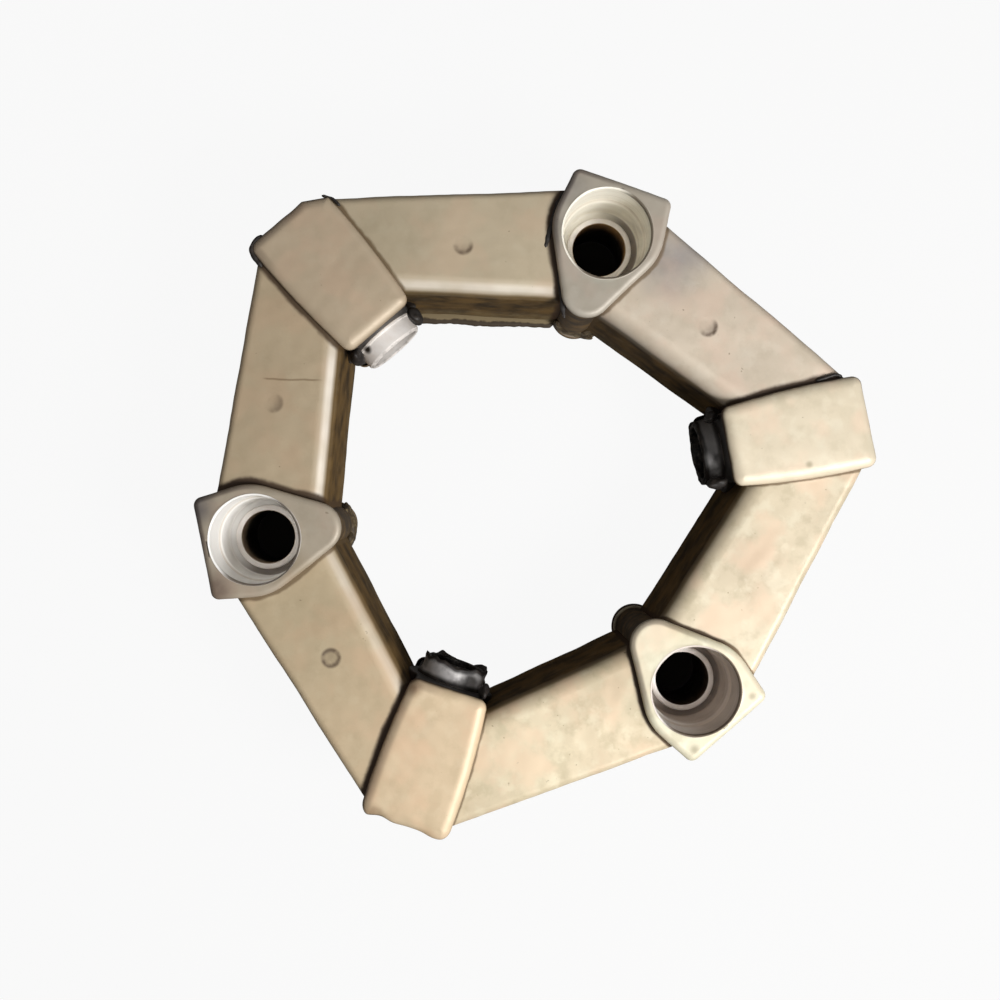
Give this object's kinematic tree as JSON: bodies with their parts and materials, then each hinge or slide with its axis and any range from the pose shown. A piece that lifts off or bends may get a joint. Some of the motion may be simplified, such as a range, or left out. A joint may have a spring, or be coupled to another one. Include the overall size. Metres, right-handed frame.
{
  "type": "flexible shaft coupling",
  "caption": "Hexagonal coupling ring of rubber legs bonded between cast bushes, which bolt axially to a flange and radially to a shaft hub in turn.",
  "frame": {"origin": "ring axis at the plane of the lower bush faces", "axes": "+Z along the ring axis towards the mouths of the counterbores, +X through the axis of radial bush 1"},
  "size_m": [0.2086, 0.2028, 0.057],
  "materials": {
    "cast_coat": "champagne metallic coat over cast aluminium",
    "bare_steel": "turned bare steel",
    "dark_steel": "turned steel with a thin black rubber film",
    "coated_rubber": "black rubber with a champagne coat on its outside"
  },
  "bodies": {
    "root": {"axial_bush_1": "cast_coat", "axial_bush_2": "cast_coat", "axial_bush_3": "cast_coat", "radial_bush_1": "cast_coat", "radial_bush_2": "cast_coat", "radial_bush_3": "cast_coat", "axial_sleeve_1": "bare_steel", "axial_sleeve_2": "bare_steel", "axial_sleeve_3": "bare_steel", "radial_sleeve_1": "dark_steel", "radial_sleeve_2": "bare_steel", "radial_sleeve_3": "dark_steel", "rubber_leg_1": "coated_rubber", "rubber_leg_2": "coated_rubber", "rubber_leg_3": "coated_rubber", "rubber_leg_4": "coated_rubber", "rubber_leg_5": "coated_rubber", "rubber_leg_6": "coated_rubber"}
  },
  "joints": []
}
